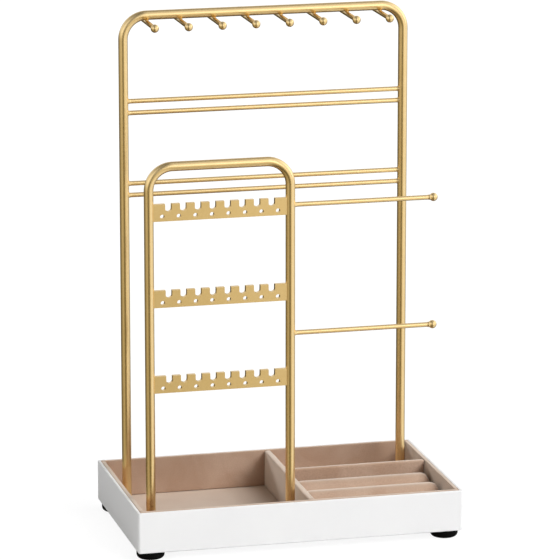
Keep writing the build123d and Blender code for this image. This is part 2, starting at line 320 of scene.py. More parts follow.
# Where most values of a noise lie
USUAL_RANGE = (0.3, 0.7)


def begin_finish(name):
    """A material with an empty tree, and the coordinates of the object it lies on."""
    material = bpy.data.materials.new(name)
    tree = empty_tree(material)
    return material, tree, add_node(tree, "ShaderNodeTexCoord").outputs["Object"]


def end_finish(material, tree, inputs):
    """Ends a material's tree with its shader."""
    shader = add_node(tree, "ShaderNodeBsdfPrincipled", inputs)
    add_node(tree, "ShaderNodeOutputMaterial", {"Surface": shader})
    return material


def satin_gold():
    material, tree, place = begin_finish("satin_gold_plated_steel")
    clouds = add_node(tree, "ShaderNodeTexNoise", {
        "Vector": place, "Scale": 1 / GOLD_CLOUDS, "Detail": GOLD_CLOUD_DETAIL})
    grain = add_node(tree, "ShaderNodeTexNoise", {
        "Vector": place, "Scale": 1 / GOLD_GRAIN, "Detail": GOLD_GRAIN_DETAIL})
    colour = add_node(tree, "ShaderNodeMix", (clouds, *map(linear, GOLD_COLOURS)), data_type="RGBA")
    gloss = add_node(tree, "ShaderNodeMapRange", (grain, *USUAL_RANGE, *GOLD_ROUGHNESS))
    relief = add_node(tree, "ShaderNodeBump", {
        "Height": grain, "Strength": GOLD_RELIEF, "Distance": GOLD_GRAIN})
    return end_finish(material, tree, {
        "Base Color": colour, "Roughness": gloss, "Normal": relief, "Metallic": 1.0})


gold = satin_gold()
print("finish:", gold.name)

# %% [markdown]
# ## Finish: white lacquer
#
# The tray is fibreboard sprayed with a white satin lacquer. Sprayed lacquer levels out before it dries,
# but not quite: it keeps a soft ripple about a millimetre and a half wide, called orange peel. It barely
# shows in the colour and is seen where a reflection bends.

# %% White lacquer
LACQUER_COLOURS = ("#F4F4F4", "#F0F0F1")
LACQUER_ROUGHNESS = (0.34, 0.44)
LACQUER_CLOUDS = 45 * MM
LACQUER_CLOUD_DETAIL = 3.0
ORANGE_PEEL = 1.6 * MM
ORANGE_PEEL_DETAIL = 1.0
ORANGE_PEEL_DEPTH = 0.01 * MM
ORANGE_PEEL_RELIEF = 0.5
# Where all values of a noise lie
NOISE_RANGE = (0.0, 1.0)


def white_lacquer():
    material, tree, place = begin_finish("white_satin_lacquer")
    clouds = add_node(tree, "ShaderNodeTexNoise", {
        "Vector": place, "Scale": 1 / LACQUER_CLOUDS, "Detail": LACQUER_CLOUD_DETAIL})
    peel = add_node(tree, "ShaderNodeTexNoise", {
        "Vector": place, "Scale": 1 / ORANGE_PEEL, "Detail": ORANGE_PEEL_DETAIL})
    colour = add_node(tree, "ShaderNodeMix", (clouds, *map(linear, LACQUER_COLOURS)), data_type="RGBA")
    gloss = add_node(tree, "ShaderNodeMapRange", (clouds, *NOISE_RANGE, *LACQUER_ROUGHNESS))
    relief = add_node(tree, "ShaderNodeBump", {
        "Height": peel, "Strength": ORANGE_PEEL_RELIEF, "Distance": ORANGE_PEEL_DEPTH})
    return end_finish(material, tree, {"Base Color": colour, "Roughness": gloss, "Normal": relief})


lacquer = white_lacquer()
print("finish:", lacquer.name)

# %% [markdown]
# ## Finish: velvet
#
# Velvet is a carpet of short fibres that stand on a woven ground. Looked at from above it is a deep
# pinkish beige. Looked at from the side, the tips of the fibres catch the light and it turns pale, which
# is what a shader calls sheen. The shader's sheen gives part of this, and the rest is a painted sheen:
# the colour is mixed towards a pale colour the more side-on the surface is seen. Where a hand has
# brushed the pile one way or the other, it shows lighter and darker patches a few centimetres wide. A fine
# speckle stands for the pile itself, drawn coarser than the real fibres so that it shows.

# %% Velvet
VELVET_COLOURS = ("#BA9C86", "#C6AB97")
# The pale colour of the painted sheen, which the velvet turns towards where it is seen side-on
VELVET_PAINTED_SHEEN_COLOUR = "#E6E0D7"
VELVET_SHEEN_COLOUR = "#F5EBDD"
VELVET_ROUGHNESS = 0.95
VELVET_SHINE = 0.1
SHEEN_ROUGHNESS = 0.4
PILE = 0.7 * MM
PILE_DETAIL = 2.0
PILE_DEPTH = 0.25 * MM
PILE_RELIEF = 0.35
PILE_SHADES = (0.86, 1.08)
BRUSHED_PATCH = 38 * MM
PATCH_DETAIL = 3.0
PATCH_SWIRL = 0.6
# The middle of a noise, which gives patches with clear edges
MIDDLE_RANGE = (0.35, 0.65)
# How side-on the pile is where the painted sheen begins and where it is strongest, and how much of the
# colour it covers at most
PAINTED_SHEEN_RANGE = (0.5, 1.0)
PAINTED_SHEEN_SHARE = (0.0, 0.78)


def velvet_pile():
    material, tree, place = begin_finish("beige_velvet_pile")
    brushed = add_node(tree, "ShaderNodeTexNoise", {
        "Vector": place, "Scale": 1 / BRUSHED_PATCH, "Detail": PATCH_DETAIL, "Distortion": PATCH_SWIRL})
    pile = add_node(tree, "ShaderNodeTexNoise", {"Vector": place, "Scale": 1 / PILE, "Detail": PILE_DETAIL})
    patches = add_node(tree, "ShaderNodeMapRange", (brushed, *MIDDLE_RANGE))
    speckle = add_node(tree, "ShaderNodeMapRange", (pile, *USUAL_RANGE, *PILE_SHADES))
    colour = add_node(tree, "ShaderNodeMix", (patches, *map(linear, VELVET_COLOURS)), data_type="RGBA")
    speckled = add_node(tree, "ShaderNodeVectorMath", (colour, speckle), operation="MULTIPLY")
    # Painted sheen: the colour is mixed towards a pale colour the more side-on the surface is seen
    side_on = add_node(tree, "ShaderNodeLayerWeight").outputs["Facing"]
    painted_sheen = add_node(tree, "ShaderNodeMapRange", (side_on, *PAINTED_SHEEN_RANGE, *PAINTED_SHEEN_SHARE))
    with_painted_sheen = add_node(tree, "ShaderNodeMix", (painted_sheen, speckled, linear(VELVET_PAINTED_SHEEN_COLOUR)), data_type="RGBA")
    relief = add_node(tree, "ShaderNodeBump", {
        "Height": pile, "Strength": PILE_RELIEF, "Distance": PILE_DEPTH})
    return end_finish(material, tree, {
        "Base Color": with_painted_sheen, "Normal": relief, "Roughness": VELVET_ROUGHNESS,
        "Specular IOR Level": VELVET_SHINE, "Sheen Weight": 1.0, "Sheen Roughness": SHEEN_ROUGHNESS,
        "Sheen Tint": linear(VELVET_SHEEN_COLOUR)})


velvet = velvet_pile()
print("finish:", velvet.name)

# %% [markdown]
# ## Finish: rubber, zinc and fibreboard
#
# The feet are moulded black rubber, dull with a faint speckle from the mould. The screws, washers and
# plugs under the legs are zinc-plated steel, a cool grey with small crystals. The ring cushion's backing
# is bare fibreboard: pressed wood fibres in two browns.

# %% Rubber, zinc and fibreboard
RUBBER_COLOURS = ("#060606", "#0C0C0C")
RUBBER_SPECKLE = 0.8 * MM
ZINC_COLOURS = ("#B9BDC0", "#D0D3D4")
ZINC_CRYSTAL = 1.2 * MM
BOARD_COLOURS = ("#8A6D50", "#6B5138")
BOARD_FIBRE = 1.5 * MM
SPECKLE_DETAIL = 4.0
SPECKLE_RELIEF = 0.4


def speckled_finish(name, grain_size, colours, roughness, metallic, depth, shine):
    """A finish with one fine grain that mixes two colours, dulls the surface and raises it a little."""
    material, tree, place = begin_finish(name)
    grain = add_node(tree, "ShaderNodeTexNoise", {
        "Vector": place, "Scale": 1 / grain_size, "Detail": SPECKLE_DETAIL})
    spread = add_node(tree, "ShaderNodeMapRange", (grain, *MIDDLE_RANGE))
    colour = add_node(tree, "ShaderNodeMix", (spread, *map(linear, colours)), data_type="RGBA")
    gloss = add_node(tree, "ShaderNodeMapRange", (grain, *NOISE_RANGE, *roughness))
    relief = add_node(tree, "ShaderNodeBump", {
        "Height": grain, "Strength": SPECKLE_RELIEF, "Distance": depth})
    return end_finish(material, tree, {
        "Base Color": colour, "Roughness": gloss, "Normal": relief, "Metallic": metallic,
        "Specular IOR Level": shine})


rubber = speckled_finish("moulded_black_rubber", RUBBER_SPECKLE, RUBBER_COLOURS,
                         roughness=(0.5, 0.7), metallic=0.0, depth=0.03 * MM, shine=0.05)
zinc = speckled_finish("zinc_plated_steel", ZINC_CRYSTAL, ZINC_COLOURS,
                       roughness=(0.28, 0.5), metallic=1.0, depth=0.01 * MM, shine=0.5)
fibreboard = speckled_finish("bare_fibreboard", BOARD_FIBRE, BOARD_COLOURS,
                             roughness=(0.75, 0.95), metallic=0.0, depth=0.05 * MM, shine=0.3)
print("finishes:", rubber.name, zinc.name, fibreboard.name)

# %% [markdown]
# ## Shapes from Geometry Nodes
#
# A tube that follows a path, or a hook that repeats eight times, is a rule more than a mesh, and Geometry
# Nodes hold rules. Each tree below has named inputs for its sizes. A modifier runs the tree once, its
# result is kept as a plain mesh, and the modifier goes away again.

# %% Geometry Nodes helpers
FLOAT, WHOLE, PLACE = "NodeSocketFloat", "NodeSocketInt", "NodeSocketVector"


def begin_tree(name, sizes):
    """A tree with named inputs for its sizes, and its input sockets by name."""
    tree = bpy.data.node_groups.new(name, "GeometryNodeTree")
    tree.interface.new_socket("Geometry", in_out="INPUT", socket_type="NodeSocketGeometry")
    for label, kind in sizes.items():
        tree.interface.new_socket(label, in_out="INPUT", socket_type=kind)
    tree.interface.new_socket("Material", in_out="INPUT", socket_type="NodeSocketMaterial")
    tree.interface.new_socket("Geometry", in_out="OUTPUT", socket_type="NodeSocketGeometry")
    return tree, add_node(tree, "NodeGroupInput").outputs


def end_tree(tree, given, geometry):
    """Ends a tree: real geometry instead of instances, smooth faces and the material."""
    smooth = add_node(tree, "GeometryNodeSetShadeSmooth", {"Geometry": geometry})
    real = add_node(tree, "GeometryNodeRealizeInstances", {"Geometry": smooth})
    painted = add_node(tree, "GeometryNodeSetMaterial", {"Geometry": real, "Material": given["Material"]})
    add_node(tree, "NodeGroupOutput", (painted,))
    return tree


def keep_result(piece):
    """Keeps a piece's modified shape as its mesh, and takes the modifiers off."""
    mesh = bpy.data.meshes.new_from_object(piece.evaluated_get(bpy.context.evaluated_depsgraph_get()))
    piece.modifiers.clear()
    piece.data = mesh


def grow(name, tree, material, sizes, points=(), edges=(), faces=()):
    """Runs a tree on a few points, edges or faces, and keeps its result."""
    start = bpy.data.meshes.new(name)
    start.from_pydata(points, edges, faces)
    piece = link(bpy.data.objects.new(name, start))
    modifier = piece.modifiers.new("shape", "NODES")
    modifier.node_group = tree
    labels = {item.name: item.identifier for item in tree.interface.items_tree if item.in_out == "INPUT"}
    for label, value in dict(sizes, Material=material).items():
        modifier[labels[label]] = value
    keep_result(piece)
    return piece


def dress(piece, body, slot, *nodes):
    """Attaches a piece to the body it moves with and hides the nodes it stands for. The slot is not used."""
    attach(piece, body)
    if nodes:
        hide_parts(*nodes)
    low, high = Vector(piece.bound_box[0]), Vector(piece.bound_box[6])
    size = [round(value / MM, 1) for value in high - low]
    print(f"{piece.name}: {len(piece.data.polygons)} faces, {size} mm")


def middle(node):
    low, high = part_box(node)
    return (low + high) / 2


print("middle of the tray's bottom in mm:", [round(value / MM, 1) for value in middle("tray_bottom")])

# %% [markdown]
# ## The two tube frames
#
# Each frame is one length of 8 mm tube, bent twice. The path has four corners: foot, top, top, foot.
# Fillet Curve rounds the two top corners to the bending radius, and Curve to Mesh runs a circle along it.
# The ends stand on the velvet and are closed.

# %% Tube frames
BEND_RADIUS = 20 * MM
BEND_STEPS = 20
TUBE_SIDES = 36


def bent_tube_tree():
    tree, given = begin_tree("bent_tube", {
        "Bend Radius": FLOAT, "Bend Steps": WHOLE, "Tube Radius": FLOAT, "Tube Sides": WHOLE})
    path = add_node(tree, "GeometryNodeMeshToCurve", (given["Geometry"],))
    bent = add_node(tree, "GeometryNodeFilletCurve", {
        "Curve": path, "Count": given["Bend Steps"], "Radius": given["Bend Radius"]}, mode="POLY")
    ring = add_node(tree, "GeometryNodeCurvePrimitiveCircle", {
        "Resolution": given["Tube Sides"], "Radius": given["Tube Radius"]})
    tube = add_node(tree, "GeometryNodeCurveToMesh", {
        "Curve": bent, "Profile Curve": ring, "Fill Caps": True})
    return end_tree(tree, given, tube)


bent_tube = bent_tube_tree()
legs = []
for node in ("tall_frame_tube", "low_frame_tube"):
    low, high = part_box(node)
    tube_radius = (high.y - low.y) / 2
    left_x, right_x, y = low.x + tube_radius, high.x - tube_radius, (low.y + high.y) / 2
    bar_z = high.z - tube_radius
    corners = [(left_x, y, low.z), (left_x, y, bar_z), (right_x, y, bar_z), (right_x, y, low.z)]
    sizes = {"Bend Radius": BEND_RADIUS, "Bend Steps": BEND_STEPS, "Tube Radius": tube_radius,
             "Tube Sides": TUBE_SIDES}
    tube = grow(node.replace("_tube", ""), bent_tube, gold, sizes, corners, [(0, 1), (1, 2), (2, 3)])
    dress(tube, "stand", "gold_steel", node)
    legs.append((left_x, right_x, y))

# %% [markdown]
# ## Cross rods
#
# The rods are welded between the legs. A weld leaves a small fillet where the rod meets the tube. The
# rod's path is a straight line, and its radius grows towards a welded end, by a falloff measured along
# the path. The rod runs into the tube far enough to close the joint all round.

# %% Rods
ROD_SIDES = 24
ROD_STEP = 0.8 * MM
WELD_RISE = 0.55 * MM
WELD_LENGTH = 3.2 * MM
WELD_SINK = 1.6 * MM


def welded_rod_tree():
    tree, given = begin_tree("welded_rod", {
        "Rod Radius": FLOAT, "Rod Sides": WHOLE, "Step": FLOAT, "Weld Rise": FLOAT, "Weld Length": FLOAT,
        "End Weld": FLOAT})
    path = add_node(tree, "GeometryNodeMeshToCurve", (given["Geometry"],))
    steps = add_node(tree, "GeometryNodeResampleCurve", {
        "Curve": path, "Length": given["Step"]}, mode="LENGTH")
    along = add_node(tree, "GeometryNodeSplineParameter").outputs["Length"]
    whole = add_node(tree, "GeometryNodeSplineLength")
    to_end = add_node(tree, "ShaderNodeMath", (whole, along), operation="SUBTRACT")
    start_rise, end_rise = [add_node(tree, "ShaderNodeMapRange", {
        "Value": way, "From Max": given["Weld Length"], "To Min": given["Weld Rise"], "To Max": 0.0},
        interpolation_type="SMOOTHSTEP") for way in (along, to_end)]
    end_part = add_node(tree, "ShaderNodeMath", (end_rise, given["End Weld"]), operation="MULTIPLY")
    rise = add_node(tree, "ShaderNodeMath", (start_rise, end_part), operation="ADD")
    radius = add_node(tree, "ShaderNodeMath", (given["Rod Radius"], rise), operation="ADD")
    ring = add_node(tree, "GeometryNodeCurvePrimitiveCircle", {
        "Resolution": given["Rod Sides"], "Radius": 1.0})
    rod = add_node(tree, "GeometryNodeCurveToMesh", {
        "Curve": steps, "Profile Curve": ring, "Scale": radius, "Fill Caps": True})
    return end_tree(tree, given, rod)


welded_rod = welded_rod_tree()
(tall_left, tall_right, tall_y), (low_left, low_right, low_y) = legs
into_leg = tube_radius - WELD_SINK
rod_low, rod_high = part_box("upper_rods_top")
rod_radius = (rod_high.z - rod_low.z) / 2
rod_sizes = {"Rod Radius": rod_radius, "Rod Sides": ROD_SIDES, "Step": ROD_STEP, "Weld Rise": WELD_RISE,
             "Weld Length": WELD_LENGTH, "End Weld": 1.0}
for node in ("upper_rods_top", "upper_rods_bottom", "lower_rods_top", "lower_rods_bottom"):
    z = middle(node).z
    ends = [(tall_left + into_leg, tall_y, z), (tall_right - into_leg, tall_y, z)]
    rod = grow(node.replace("rods", "rod"), welded_rod, gold, rod_sizes, ends, [(0, 1)])
    dress(rod, "stand", "gold_steel", node)

# %% [markdown]
# ## Balls, and the bracelet bars that end in one
#
# The bracelet bars are rods that stand out from one leg, with a weld at that end only. Each bar and hook
# ends in a small ball, so that jewelry doesn't slip off. The ball is pressed onto the rod and has a short
# neck where the two meet. One tree makes a ball with its neck, and is used again for the hooks.

# %% Bracelet bars
BALL_SEGMENTS = 32
BALL_RINGS = 20
NECK_LENGTH = 1.6 * MM
NECK_RISE = 0.5 * MM


def ball_group():
    """A node group that makes one ball at the origin, with its neck along +Z."""
    tree, given = begin_tree("necked_ball", {
        "Ball Radius": FLOAT, "Rod Radius": FLOAT, "Neck Rise": FLOAT, "Neck Length": FLOAT})
    ball = add_node(tree, "GeometryNodeMeshUVSphere", {
        "Segments": BALL_SEGMENTS, "Rings": BALL_RINGS, "Radius": given["Ball Radius"]})
    wide = add_node(tree, "ShaderNodeMath", (given["Rod Radius"], given["Neck Rise"]), operation="ADD")
    deep = add_node(tree, "ShaderNodeMath", (given["Ball Radius"], given["Neck Length"]),
                    operation="SUBTRACT")
    depth = add_node(tree, "ShaderNodeMath", (given["Neck Length"], 2.0), operation="MULTIPLY")
    neck = add_node(tree, "GeometryNodeMeshCone", {
        "Vertices": BALL_SEGMENTS, "Radius Top": given["Rod Radius"], "Radius Bottom": wide, "Depth": depth})
    lift = add_node(tree, "ShaderNodeCombineXYZ", {"Z": deep})
    placed = add_node(tree, "GeometryNodeTransform", {"Geometry": neck, "Translation": lift})
    both = add_node(tree, "GeometryNodeJoinGeometry", ([ball, placed],))
    return end_tree(tree, given, both)


necked_ball = ball_group()
ball_low, ball_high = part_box("bracelet_ball_upper")
ball_radius = (ball_high.z - ball_low.z) / 2
ball_sizes = {"Ball Radius": ball_radius, "Rod Radius": rod_radius, "Neck Rise": NECK_RISE,
              "Neck Length": NECK_LENGTH}
bar_sizes = dict(rod_sizes, **{"End Weld": 0.0})
for level in ("upper", "lower"):
    centre = middle(f"bracelet_ball_{level}")
    ends = [(low_right + into_leg, low_y, centre.z), (centre.x, low_y, centre.z)]
    bar = grow(f"bracelet_bar_{level}_rod", welded_rod, gold, bar_sizes, ends, [(0, 1)])
    dress(bar, "stand", "gold_steel", f"bracelet_bar_{level}")
    ball = grow(f"bracelet_bar_{level}_ball", necked_ball, gold, ball_sizes)
    for vertex in ball.data.vertices:
        x, y, z = vertex.co
        vertex.co = centre + Vector((-z, y, x))
    dress(ball, "stand", "gold_steel", f"bracelet_ball_{level}")

# %% [markdown]
# ## Hooks under the top bar
#
# Eight short rods cross under the tall frame's bar, each with a ball at the front and one at the back. A
# small weld bead fills the line where rod and bar touch. This is one shape repeated at even steps, so the
# tree builds a single hook and sets it on the points of a line.

# %% Hooks
HOOK_COUNT = 8
BEAD_SIZE = Vector((1.7, 2.6, 0.9)) * MM
QUARTER_TURN = math.pi / 2


def hook_row_tree():
    tree, given = begin_tree("hook_row", {
        "Count": WHOLE, "First Place": PLACE, "Spacing": PLACE, "Reach": FLOAT, "Rod Radius": FLOAT,
        "Rod Sides": WHOLE, "Ball Radius": FLOAT, "Neck Rise": FLOAT, "Neck Length": FLOAT,
        "Bead Size": PLACE})
    behind = add_node(tree, "ShaderNodeCombineXYZ", {"Y": given["Reach"]})
    ahead = add_node(tree, "ShaderNodeVectorMath", (behind, (-1, -1, -1)), operation="MULTIPLY")
    path = add_node(tree, "GeometryNodeCurvePrimitiveLine", {"Start": ahead, "End": behind})
    ring = add_node(tree, "GeometryNodeCurvePrimitiveCircle", {
        "Resolution": given["Rod Sides"], "Radius": given["Rod Radius"]})
    rod = add_node(tree, "GeometryNodeCurveToMesh", {
        "Curve": path, "Profile Curve": ring, "Fill Caps": True})
    labels = ("Ball Radius", "Rod Radius", "Neck Rise", "Neck Length", "Material")
    passed_on = {label: given[label] for label in labels}
    ball = add_node(tree, "GeometryNodeGroup", passed_on, node_tree=necked_ball)
    front = add_node(tree, "GeometryNodeTransform", {
        "Geometry": ball, "Translation": ahead, "Rotation": (-QUARTER_TURN, 0, 0)})
    back = add_node(tree, "GeometryNodeTransform", {
        "Geometry": ball, "Translation": behind, "Rotation": (QUARTER_TURN, 0, 0)})
    top = add_node(tree, "ShaderNodeCombineXYZ", {"Z": given["Rod Radius"]})
    round_bead = add_node(tree, "GeometryNodeMeshUVSphere", {
        "Segments": ROD_SIDES, "Rings": ROD_SIDES // 2, "Radius": 1.0})
    bead = add_node(tree, "GeometryNodeTransform", {
        "Geometry": round_bead, "Translation": top, "Scale": given["Bead Size"]})
    hook = add_node(tree, "GeometryNodeJoinGeometry", ([rod, front, back, bead],))
    places = add_node(tree, "GeometryNodeMeshLine", {
        "Count": given["Count"], "Start Location": given["First Place"], "Offset": given["Spacing"]})
    row = add_node(tree, "GeometryNodeInstanceOnPoints", {"Points": places, "Instance": hook})
    return end_tree(tree, given, row)


hook_nodes = [f"hook_rod_{number}" for number in range(1, HOOK_COUNT + 1)]
first_hook, last_hook = middle(hook_nodes[0]), middle(hook_nodes[-1])
hook_sizes = dict(ball_sizes, **{
    "Count": HOOK_COUNT, "First Place": first_hook, "Spacing": (last_hook - first_hook) / (HOOK_COUNT - 1),
    "Reach": middle("hook_balls_back").y - first_hook.y, "Rod Sides": ROD_SIDES, "Bead Size": BEAD_SIZE})
dress(grow("necklace_hooks", hook_row_tree(), gold, hook_sizes), "stand", "gold_steel",
      *hook_nodes, "hook_balls_front", "hook_balls_back")

# %% [markdown]
# ## Earring strips
#
# Three flat strips join the low frame's legs. A press punches eight round-bottomed notches into the top
# edge and eight holes below them. The tree does the same: it sets punches along a line and takes them
# away from the plate with Mesh Boolean. A punch is a round bar, and the upper half of a notch punch is
# pulled up. A fine bevel then breaks the sharp edges, and Weighted Normal keeps the flats flat.

# %% Earring strips
NOTCH_COUNT = 8
NOTCH_TO_LEG = 16.25 * MM
NOTCH_WIDTH = 5.6 * MM
NOTCH_DEPTH = 6.4 * MM
HOLE_COUNT = 8
HOLE_TO_LEG = 11.0 * MM
HOLE_RADIUS = 1.8 * MM
HOLE_DROP = 10.5 * MM
PUNCH_SIDES = 24
PUNCH_LENGTH = 12 * MM
STRIP_EDGE = 0.2 * MM
EDGE_STEPS = 2
# Points closer than this count as one
TINY = MM / 1000


def earring_strip_tree():
    sizes = {"Centre": PLACE, "Size": PLACE, "Punch Length": FLOAT, "Punch Sides": WHOLE}
    for kind in ("Notch", "Hole"):
        sizes.update({f"{kind} Count": WHOLE, f"First {kind}": PLACE, f"{kind} Spacing": PLACE,
                      f"{kind} Radius": FLOAT, f"{kind} Pull": FLOAT})
    tree, given = begin_tree("earring_strip", sizes)
    block = add_node(tree, "GeometryNodeMeshCube", {"Size": given["Size"]})
    plate = add_node(tree, "GeometryNodeTransform", {"Geometry": block, "Translation": given["Centre"]})
    place = add_node(tree, "GeometryNodeInputPosition")
    height = add_node(tree, "ShaderNodeSeparateXYZ", (place,)).outputs["Z"]
    upper = add_node(tree, "ShaderNodeMath", (height, -TINY), operation="GREATER_THAN")
    cuts = []
    for kind in ("Notch", "Hole"):
        bar = add_node(tree, "GeometryNodeMeshCylinder", {
            "Vertices": given["Punch Sides"], "Radius": given[f"{kind} Radius"],
            "Depth": given["Punch Length"]})
        level = add_node(tree, "GeometryNodeTransform", {"Geometry": bar, "Rotation": (QUARTER_TURN, 0, 0)})
        pull = add_node(tree, "ShaderNodeCombineXYZ", {"Z": given[f"{kind} Pull"]})
        punch = add_node(tree, "GeometryNodeSetPosition", {
            "Geometry": level, "Selection": upper, "Offset": pull})
        line = add_node(tree, "GeometryNodeMeshLine", {
            "Count": given[f"{kind} Count"], "Start Location": given[f"First {kind}"],
            "Offset": given[f"{kind} Spacing"]})
        cuts.append(add_node(tree, "GeometryNodeInstanceOnPoints", {"Points": line, "Instance": punch}))
    cut = add_node(tree, "GeometryNodeMeshBoolean", {
        "Mesh 1": plate, "Mesh 2": cuts}, operation="DIFFERENCE")
    return end_tree(tree, given, cut)


def keep_flats_flat(piece):
    """Lets large faces set the normals, so that a rounded edge doesn't shade the flat beside it."""
    piece.modifiers.new("flat_faces", "WEIGHTED_NORMAL")


def break_edges(piece, width):
    bevel = piece.modifiers.new("broken_edges", "BEVEL")
    bevel.width = width
    bevel.segments = EDGE_STEPS
    bevel.limit_method = "ANGLE"
    keep_flats_flat(piece)


earring_strip = earring_strip_tree()
left_x, right_x = low_left + into_leg, low_right - into_leg
notch_step = (low_right - low_left - 2 * NOTCH_TO_LEG) / (NOTCH_COUNT - 1)
hole_step = (low_right - low_left - 2 * HOLE_TO_LEG) / (HOLE_COUNT - 1)
for level in ("top", "middle", "bottom"):
    node = f"earring_strip_{level}"
    strip_low, strip_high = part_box(node)
    notch_z = strip_high.z - NOTCH_DEPTH + NOTCH_WIDTH / 2
    strip_sizes = {
        "Centre": ((left_x + right_x) / 2, low_y, middle(node).z),
        "Size": (right_x - left_x, strip_high.y - strip_low.y, strip_high.z - strip_low.z),
        "Punch Length": PUNCH_LENGTH, "Punch Sides": PUNCH_SIDES,
        "Notch Count": NOTCH_COUNT, "First Notch": (low_left + NOTCH_TO_LEG, low_y, notch_z),
        "Notch Spacing": (notch_step, 0, 0), "Notch Radius": NOTCH_WIDTH / 2, "Notch Pull": NOTCH_DEPTH,
        "Hole Count": HOLE_COUNT, "First Hole": (low_left + HOLE_TO_LEG, low_y, strip_high.z - HOLE_DROP),
        "Hole Spacing": (hole_step, 0, 0), "Hole Radius": HOLE_RADIUS, "Hole Pull": 0.0}
    strip = grow(node.replace("strip_", "strip_plate_"), earring_strip, gold, strip_sizes)
    break_edges(strip, STRIP_EDGE)
    dress(strip, "stand", "gold_steel", node)

# %% [markdown]
# ## Tray walls
#
# The tray's four boards are joined, sanded and lacquered together, so that no joint shows. The rim and
# the corners are a little round, and the lower edge has a small chamfer. A loft through rounded
# rectangles gives exactly that: up the outside, over the rim, and down the inside.

# %% Tray walls
CORNER_RADIUS = 2.0 * MM
CORNER_STEPS = 6
INNER_CORNER_RADIUS = 0.4 * MM
RIM_RADIUS = 0.8 * MM
INNER_RIM_RADIUS = 0.5 * MM
RIM_STEPS = 4
LOWER_CHAMFER = 1.0 * MM


def solid(name, corners, faces, material):
    """A smooth mesh with its doubles merged and its faces turned outwards."""
    mesh = bpy.data.meshes.new(name)
    mesh.from_pydata(corners, [], faces)
    shell = bmesh.new()
    shell.from_mesh(mesh)
    bmesh.ops.remove_doubles(shell, verts=shell.verts, dist=TINY)
    bmesh.ops.recalc_face_normals(shell, faces=shell.faces)
    for face in shell.faces:
        face.smooth = True
    shell.to_mesh(mesh)
    shell.free()
    mesh.materials.append(material)
    return link(bpy.data.objects.new(name, mesh))


def quarter(centre, radius, start, steps):
    """Points on a quarter circle, from an angle in degrees and on by 90."""
    angles = [math.radians(start + 90 * step / steps) for step in range(steps + 1)]
    return [(centre[0] + radius * math.cos(angle), centre[1] + radius * math.sin(angle)) for angle in angles]


def rounded_rectangle(half_x, half_y, radius, z):
    points = []
    for side_x, side_y, start in ((1, 1, 0), (-1, 1, 90), (-1, -1, 180), (1, -1, 270)):
        centre = side_x * (half_x - radius), side_y * (half_y - radius)
        points += [(x, y, z) for x, y in quarter(centre, radius, start, CORNER_STEPS)]
    return points


def loft_faces(loops, around):
    """Faces between neighbouring loops of so many points, with the last loop joined to the first."""
    return [(row * around + place, row * around + (place + 1) % around,
             (row + 1) % loops * around + (place + 1) % around, (row + 1) % loops * around + place)
            for row in range(loops) for place in range(around)]


walls = [f"tray_{side}_wall" for side in ("front", "back", "left", "right")]
tray_x, tray_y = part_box("tray_right_wall")[1].x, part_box("tray_back_wall")[1].y
tray_base, tray_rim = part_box("tray_front_wall")[0].z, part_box("tray_front_wall")[1].z
wall = tray_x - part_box("lining_right")[1].x
outer_centre = -RIM_RADIUS, tray_rim - RIM_RADIUS
inner_centre = INNER_RIM_RADIUS - wall, tray_rim - INNER_RIM_RADIUS
rim = quarter(outer_centre, RIM_RADIUS, 0, RIM_STEPS)
rim += quarter(inner_centre, INNER_RIM_RADIUS, 90, RIM_STEPS)
# The wall's section: how far each loop lies inside the tray's outline, and its height
section = [(LOWER_CHAMFER, tray_base), (0, tray_base + LOWER_CHAMFER)]
section += [(-x, z) for x, z in rim] + [(wall, tray_base)]
loops = []
for inset, z in section:
    radius = max(CORNER_RADIUS - inset, INNER_CORNER_RADIUS)
    loops.append(rounded_rectangle(tray_x - inset, tray_y - inset, radius, z))
tray_faces = loft_faces(len(loops), len(loops[0]))
tray = solid("tray_walls", [point for loop in loops for point in loop], tray_faces, lacquer)
keep_flats_flat(tray)
dress(tray, "stand", "white_lacquer", *walls)

# %% [markdown]
# ## Velvet linings and dividers
#
# The linings and dividers are boards wrapped in velvet, so they have no sharp edge anywhere, and the pile
# makes their faces a little uneven. A soft board is a box of small faces. Each point is held to the
# distance of the rounding from a smaller box inside, which rounds every edge and corner at once, and is
# then pressed in a little by a smooth noise. Where two soft boards meet, their round edges leave the dark
# crease that the real ones have.

# %% Velvet boards
LINING_ROUND_SHARE = 0.25
DIVIDER_ROUND_SHARE = 0.32
ROUND_STEPS = 4
VELVET_CELL = 3.5 * MM
VELVET_DENT = 0.35 * MM
VELVET_DENT_WIDTH = 16 * MM
FOOT_ROUNDING = 1.1 * MM
FLOOR_ROUNDING = 0.38 * MM


def places_along(low, high, radius):
    """Places along one side of a soft board: close together where it rounds over, a cell apart between."""
    edge = [radius * step / ROUND_STEPS for step in range(ROUND_STEPS)]
    inside = high - low - 2 * radius
    cells = max(1, round(inside / VELVET_CELL))
    flat = [low + radius + inside * step / cells for step in range(cells + 1)]
    return [low + offset for offset in edge] + flat + [high - offset for offset in reversed(edge)]


def soft_board(name, low, high, radius, foot_radius):
    corners, faces = [], []
    for axis in range(3):
        across, along = (axis + 1) % 3, (axis + 2) % 3
        rows = places_along(low[across], high[across], radius)
        columns = places_along(low[along], high[along], radius)
        count = len(columns)
        for level in (low[axis], high[axis]):
            start = len(corners)
            for row in rows:
                for column in columns:
                    point = Vector()
                    point[axis], point[across], point[along] = level, row, column
                    corners.append(point)
            cells = [start + row * count + column
                     for row in range(len(rows) - 1) for column in range(count - 1)]
            faces += [(cell, cell + count, cell + count + 1, cell + 1) for cell in cells]
    for place, point in enumerate(corners):
        rounding = radius if point.z > (low.z + high.z) / 2 else foot_radius
        inner = Vector([min(max(value, least + rounding), most - rounding)
                        for value, least, most in zip(point, low, high)])
        outward = (point - inner).normalized()
        dent = VELVET_DENT * (0.5 + 0.5 * noise.noise(point / VELVET_DENT_WIDTH)) * min(1, rounding / MM)
        corners[place] = inner + outward * (rounding - dent)
    return solid(name, corners, faces, velvet)


